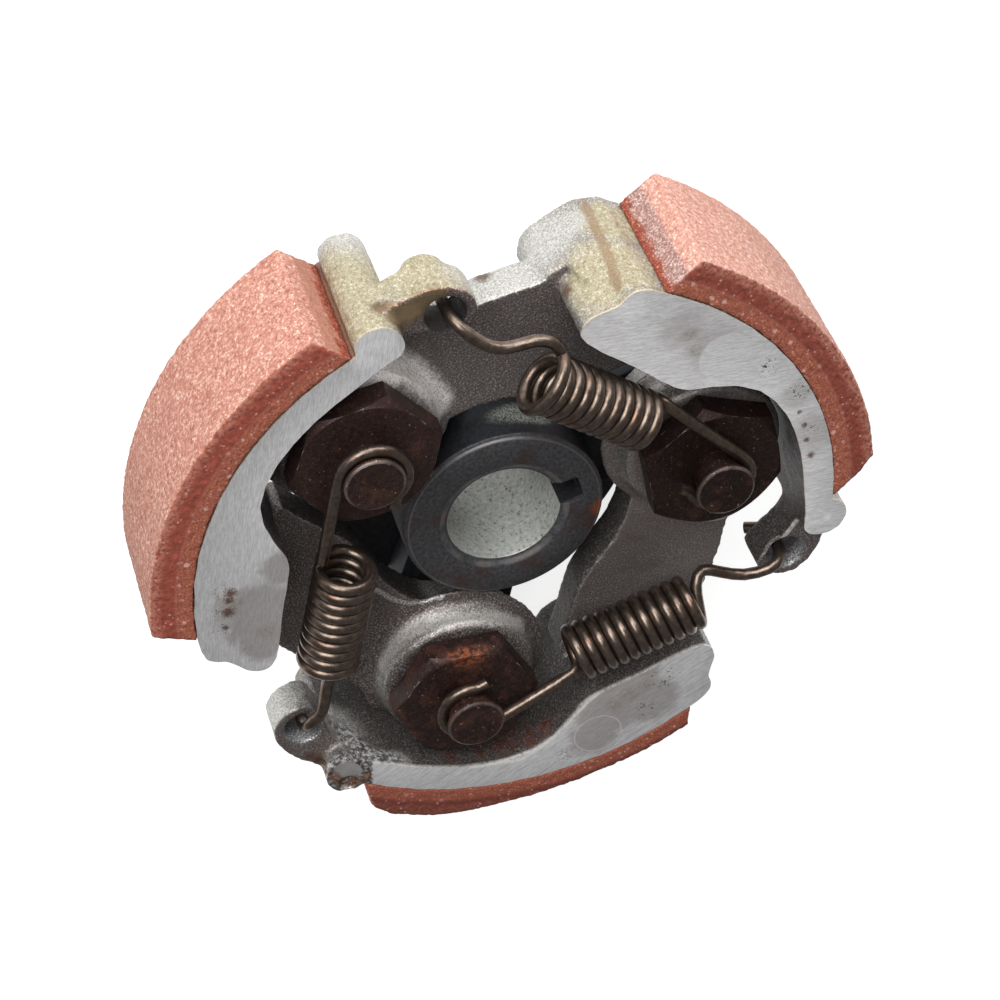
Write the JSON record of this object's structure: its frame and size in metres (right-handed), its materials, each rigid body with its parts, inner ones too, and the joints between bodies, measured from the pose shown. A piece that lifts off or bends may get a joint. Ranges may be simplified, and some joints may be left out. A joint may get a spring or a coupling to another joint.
{
  "type": "centrifugal clutch",
  "caption": "Round centrifugal clutch: a keyed hub carries pivoting shoes with bonded friction linings, held in by coil springs until speed swings them out against a drum.",
  "frame": {"origin": "on the clutch axis, at the height of the centroid", "axes": "+Z along the clutch axis out of the machined shoe faces, where the springs and hexagon heads are; -Z towards the hub's back face"},
  "size_m": [0.0772, 0.0738, 0.0262],
  "materials": {
    "hub_steel": "blue-black oiled steel with light rust",
    "bolt_steel": "dark brown, rust patches",
    "shoe_casting": "sparkling cast skin with machined light grey faces",
    "friction_lining": "matt brick red with copper flecks",
    "spring_wire": "bronze-brown oil-tempered wire"
  },
  "bodies": {
    "carrier": {"hub": "hub_steel", "pivot_bolt_1": "bolt_steel", "pivot_bolt_2": "bolt_steel", "pivot_bolt_3": "bolt_steel", "spring_1": "spring_wire", "spring_2": "spring_wire", "spring_3": "spring_wire"},
    "swing_a": {"shoe_a": "shoe_casting", "lining_a": "friction_lining"},
    "swing_b": {"shoe_b": "shoe_casting", "lining_b": "friction_lining"},
    "swing_c": {"shoe_c": "shoe_casting", "lining_c": "friction_lining"}
  },
  "joints": [
    {"name": "shoe_a_swing", "type": "hinge", "parent": "carrier", "child": "swing_a", "pos_m": [-0.02148, -0.00476, 0], "axis": [0, 0, 1], "range_deg": [0, 4], "stiffness_Nm_per_rad": 21, "springref_deg": -3.44, "deforming": ["spring_2"]},
    {"name": "shoe_b_swing", "type": "hinge", "parent": "carrier", "child": "swing_b", "pos_m": [0.00662, 0.02098, 0], "axis": [0, 0, 1], "range_deg": [0, 4], "stiffness_Nm_per_rad": 21, "springref_deg": -3.44, "deforming": ["spring_3"]},
    {"name": "shoe_c_swing", "type": "hinge", "parent": "carrier", "child": "swing_c", "pos_m": [0.01486, -0.01622, 0], "axis": [0, 0, 1], "range_deg": [0, 4], "stiffness_Nm_per_rad": 21, "springref_deg": -3.44, "deforming": ["spring_1"]}
  ]
}
